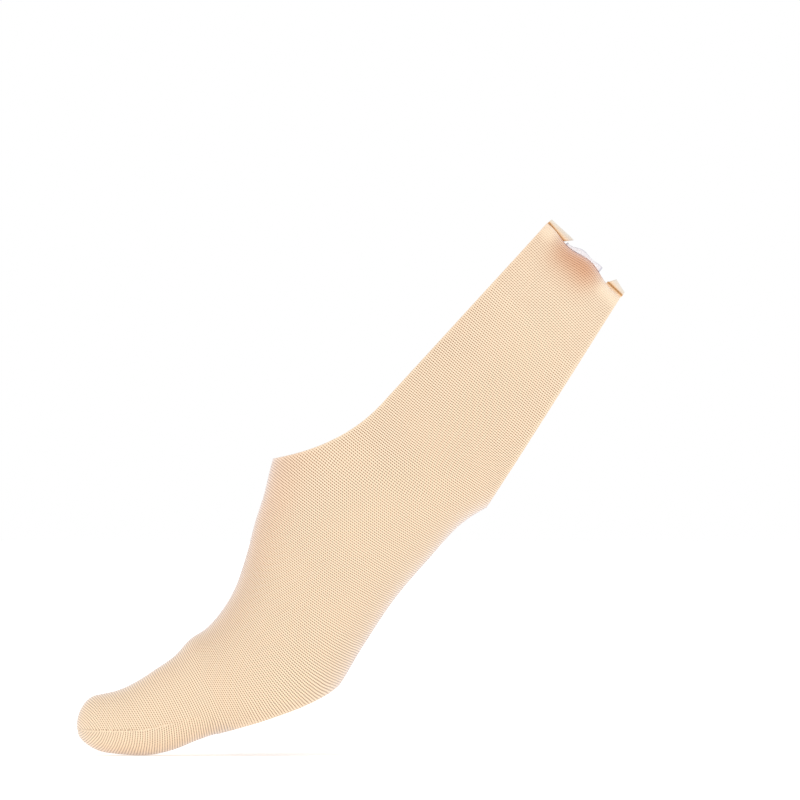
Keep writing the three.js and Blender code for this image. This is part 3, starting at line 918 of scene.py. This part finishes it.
TAB_LAYER = 0.75
TAB_GAP = 0.12  # half the gap between the layers at the seam
TAB_SPLAY, TAB_CURL = 0.35, 1.5  # how far each layer's free edge stands off, and how late it bends out
TAB_WAVE, TAB_WAVES = 0.08, 9  # how far and how often it waves
TAB_GRID = 14
TAB_INTO_SEAM = 1.0  # how far the layers run on into the strap's end
TAB_EDGE_START, TAB_EDGE_FADE = 0.38, 0.4  # where its paler cut edge begins, as shares of the way out
DITCH_IN = {"upper": 0.45, "lower": 0.1}  # how far inside each tab's root its sunk thread lies, coloured dark brown as painted shadow of the ditch
DITCH_OUT = 1.05  # and how far to each side
DITCH_SHADE = 0.4  # how far its shade reaches
DITCH_POINTS = 40
SIDES = {"medial": -1, "lateral": 1}
# Each tab: the two ends of its root at the seam, and of its free edge, as x and z
TABS = {
    "upper": (((73.6, 111.5), (78.6, 105.4)), ((74.2, 112.1), (81.7, 105.2))),
    "lower": (((93.9, 90.6), (99.0, 85.7)), ((96.8, 91.1), (99.6, 86.7))),
}


def out_of_seam(root):
    """The direction out of the seam at a tab's root, in the side view."""
    (start_x, start_z), (end_x, end_z) = root
    return np.array([start_z - end_z, end_x - start_x]) / math.hypot(end_x - start_x, end_z - start_z)


def tab_mesh(root, free):
    """Both layers, as a grid from the root at the seam to the free edge."""
    along, out = grid_shares(TAB_GRID, TAB_GRID)
    root, free = np.array(root) - TAB_INTO_SEAM * out_of_seam(root), np.array(free)
    on_root = lerp(root[0], root[1], along[..., None])
    on_free = lerp(free[0], free[1], along[..., None])
    flat = lerp(on_root, on_free, out[..., None])
    points, faces, outness = [], [], []
    for side in SIDES.values():
        stand = TAB_GAP + TAB_SPLAY * out ** TAB_CURL + TAB_WAVE * np.sin(TAB_WAVES * along + side) * out
        depths = (side * (stand + TAB_LAYER), side * stand)
        faces_of = [np.stack([flat[..., 0], y, flat[..., 1]], axis=-1) for y in depths]
        layer = np.concatenate([*faces_of, out[..., None]], axis=-1).reshape(TAB_GRID ** 2, -1)
        quads = grid_faces(flat[..., 0] / EYE_PITCH, flat[..., 1] / COURSE_PITCH)
        if side < 0:
            quads = [face[::-1] for face in quads]
        placed, placed_out, closed = shell(layer, quads)
        faces += [[(c[0] + len(points), *c[1:]) for c in face] for face in closed]
        points += placed.tolist()
        outness += placed_out[:, 0].tolist()
    return np.array(points), np.array(outness), faces


# The blank label over the middle of the back seam

LABEL_LOW, LABEL_HIGH = 0.44, 0.7  # height shares of its ends
LABEL_MEDIAL, LABEL_LATERAL = -0.12, 0.42  # how far it reaches round the seam on both sides
LABEL_LOW_GAP, LABEL_HIGH_GAP = 0.35, 0.3  # its distance from the cloth at its ends
LABEL_RIPPLE, LABEL_WAVES = 0.36, 1.6
LABEL_THICK = 0.3
LABEL_SEWN_SHARE, LABEL_SEWN_GAP = 0.3, 0.04  # the medial edge lies on the knit
LABEL_ROWS, LABEL_COLUMNS = 60, 40
LABEL_EDGE = 0.05  # share of the label's width that is its woven edge, painted grey as shade
LABEL_CREASE_SHADE = 0.05  # and of the crease where it is folded over the seam, painted grey as shade too


def label_mesh():
    """The ribbon round the end of the strap, with its edge values."""
    level, share = grid_shares(LABEL_ROWS, LABEL_COLUMNS)
    height = lerp(LABEL_LOW, LABEL_HIGH, level)
    round_back = lerp(LABEL_MEDIAL, LABEL_LATERAL, share)
    ripple = LABEL_RIPPLE * (1 + np.cos(2 * math.pi * LABEL_WAVES * level))
    gap = lerp(LABEL_LOW_GAP, LABEL_HIGH_GAP, level) + ripple
    sewn = np.clip(1 - share / LABEL_SEWN_SHARE, 0, 1) ** 2
    gap = lerp(gap, LABEL_SEWN_GAP, sewn)
    section = section_at(np.full_like(level, LAST))
    angle = angle_at(section, height) * np.where(round_back < 0, 1, -1)
    station = LAST - round_back ** 2
    faces_of = [form_points(station, angle, -gap - outset) for outset in (LABEL_THICK, 0.0)]
    edge = np.clip(1 - np.minimum(1 - share, np.minimum(level, 1 - level)) / LABEL_EDGE, 0, 1)
    crease = LABEL_MEDIAL / (LABEL_MEDIAL - LABEL_LATERAL)
    edge = np.maximum(edge, np.exp(-((share - crease) / LABEL_CREASE_SHADE) ** 2))
    layer = np.concatenate([*faces_of, edge[..., None]], axis=-1).reshape(LABEL_ROWS * LABEL_COLUMNS, -1)
    return shell(layer, grid_faces(lengths_along(faces_of[0], 1), lengths_along(faces_of[0], 0)))


# Making the pieces

KNIT = knit_material(
    "knit",
    thread=(0.87, 0.69, 0.505, 1.0),
    eye_shade=(0.24, 0.125, 0.06, 1.0),
    shade=(0.82, 0.56, 0.445, 1.0),
    edge=(0.92, 0.74, 0.55, 1.0),
    edge_share=0.3,
    eye_share=0.36,
    relief=0.6,
)
ALLOWANCE = knit_material(
    "seam_allowance",
    thread=(0.83, 0.61, 0.4, 1.0),
    eye_shade=(0.74, 0.52, 0.32, 1.0),
    shade=(0.66, 0.42, 0.22, 1.0),
    edge=(0.64, 0.61, 0.575, 1.0),
    edge_share=0.95,
    eye_share=0.3,
    relief=0.2,
)
THREAD = thread_material("seam_thread", (0.9, 0.73, 0.53, 1.0))
# the stitches sunk at the tab roots are real thread, coloured dark brown as the painted shadow of the seam
# ditch
DITCH_SHADOW_THREAD = thread_material("seam_ditch_shadow_thread", (0.62, 0.33, 0.12, 1.0))
SATIN = satin_material("label_satin", (0.80, 0.75, 0.765, 1.0))

points, values, faces = sleeve_shell()
sleeve = mesh_object("knit_sleeve_cloth", points, faces, KNIT, {
    "shade": back_shade(points),
    "corner": corner_nearness(points),
    "rim": rim_nearness(points),
    "seam": values[:, 0],
    "run": values[:, 1],
    "top": values[:, 2],
    # painted shade by the back seam, kept out of the corners
    "fold_shade": values[:, 3] * (1 - corner_nearness(points)),
    "open": values[:, 4],
})

line, out = seam_line()
points, faces = stitch_run(line, out, pitch=SEAM_DOT_PITCH, length=0.95, radius=0.13, lift=0.1)
toe_stitches = mesh_object("toe_seam_stitches", points, faces, THREAD)

tabs, ditches = [], []
for place, (root, free) in TABS.items():
    points, outness, faces = tab_mesh(root, free)
    out = (points[:, [0, 2]] - root[0]) @ out_of_seam(root)
    values = {
        "shade": np.exp(-((out + DITCH_IN[place]) / DITCH_SHADE) ** 2),
        "rim": np.clip((outness - TAB_EDGE_START) / TAB_EDGE_FADE, 0, 1),
        "open": np.ones(len(points)),
    }
    tab = mesh_object(f"seam_tab_{place}_cloth", points, faces, ALLOWANCE, values)
    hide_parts(f"seam_tab_{place}")
    tabs.append(tab)
    for side_name, side in SIDES.items():
        ends = np.array(root) - DITCH_IN[place] * out_of_seam(root)
        ends = np.array([(x, side * DITCH_OUT, z) for x, z in ends])
        run = lerp(ends[0], ends[1], np.linspace(0, 1, DITCH_POINTS)[:, None])
        outward = np.tile((0.0, side, 0.0), (DITCH_POINTS, 1))
        points, faces = stitch_run(run, outward, pitch=1.0, length=0.98, radius=0.28, lift=0.05)
        ditches.append(mesh_object(f"seam_thread_{place}_{side_name}", points, faces, DITCH_SHADOW_THREAD))

points, values, faces = label_mesh()
# edge carries the painted shade of the ribbon's edges and crease
label = mesh_object("back_label_ribbon", points, faces, SATIN, {"edge": values[:, 0]})


# Stage, light and camera

WHITE = (1.0, 1.0, 1.0, 1.0)
FLOOR_Z = -75.25
FLOOR_RADIUS, FLOOR_SIDES = 9000.0, 96
FLOOR_TINTS, FLOOR_CLOUDS = ((0.92, 0.92, 0.92, 1.0), (0.94, 0.94, 0.94, 1.0)), 3.0
FLOOR_GLOW = 0.32
CAMERA_AWAY = 6000.0
CAMERA_REACH = 50.0  # in metres
PLANE_Y = -14.0  # the depth at which the picture has its full scale
FRAME_WIDTH = 280.0
FRAME_CENTRE_X, FRAME_CENTRE_Z = 21.0, 49.0
SENSOR = 36.0


def make_floor():
    ring = [2 * math.pi * k / FLOOR_SIDES for k in range(FLOOR_SIDES)]
    points = np.array([(FLOOR_RADIUS * math.cos(a), FLOOR_RADIUS * math.sin(a), FLOOR_Z) for a in ring])
    s = Shader("floor")
    material = s.finish(
        Base_Color=s.mix(s.uneven(FLOOR_CLOUDS), *FLOOR_TINTS),
        Roughness=0.9,
        Specular_IOR_Level=0.1,
        Emission_Color=WHITE,
        Emission_Strength=FLOOR_GLOW,
    )
    return mesh_object("floor", points, [[(k, 0.0, 0.0) for k in range(FLOOR_SIDES)]], material)


def make_world():
    """A plain white studio."""
    world = bpy.data.worlds.new("studio")
    world.use_nodes = True
    background = world.node_tree.nodes["Background"]
    background.inputs["Color"].default_value = WHITE
    background.inputs["Strength"].default_value = 1.0
    bpy.context.scene.world = world


def make_light(name, place, target, size, power):
    """A square soft box, with its place and size in metres."""
    data = bpy.data.lights.new(name, "AREA")
    data.shape = "SQUARE"
    data.size = size
    data.energy = power
    lamp = bpy.data.objects.new(name, data)
    bpy.context.scene.collection.objects.link(lamp)
    lamp.location = place
    aim = target - lamp.location
    lamp.rotation_mode = "QUATERNION"
    lamp.rotation_quaternion = aim.to_track_quat("-Z", "Y")


def make_camera():
    """A long lens level with the sleeve, square to its medial side."""
    lens = bpy.data.cameras.new("camera")
    lens.sensor_width = SENSOR
    lens.lens = SENSOR * CAMERA_AWAY / FRAME_WIDTH
    lens.clip_end = CAMERA_REACH
    camera = bpy.data.objects.new("camera", lens)
    bpy.context.scene.collection.objects.link(camera)
    camera.location = (FRAME_CENTRE_X * MM, (PLANE_Y - CAMERA_AWAY) * MM, FRAME_CENTRE_Z * MM)
    camera.rotation_euler = (math.radians(90), 0, 0)
    bpy.context.scene.camera = camera


make_floor()
make_world()
middle = (cad_low + cad_high) / 2
make_light("key", place=(-0.9, -2.3, 0.75), target=middle, size=1.5, power=7.5)
make_light("fill", place=(1.3, -2.2, 0.3), target=middle, size=1.5, power=6.0)
make_camera()
bpy.context.scene.view_settings.view_transform = "Standard"


# What the pieces stand for

for piece in (sleeve, toe_stitches, *tabs, *ditches, label):
    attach(piece, "root")
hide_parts("knit_sleeve")
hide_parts("back_label")
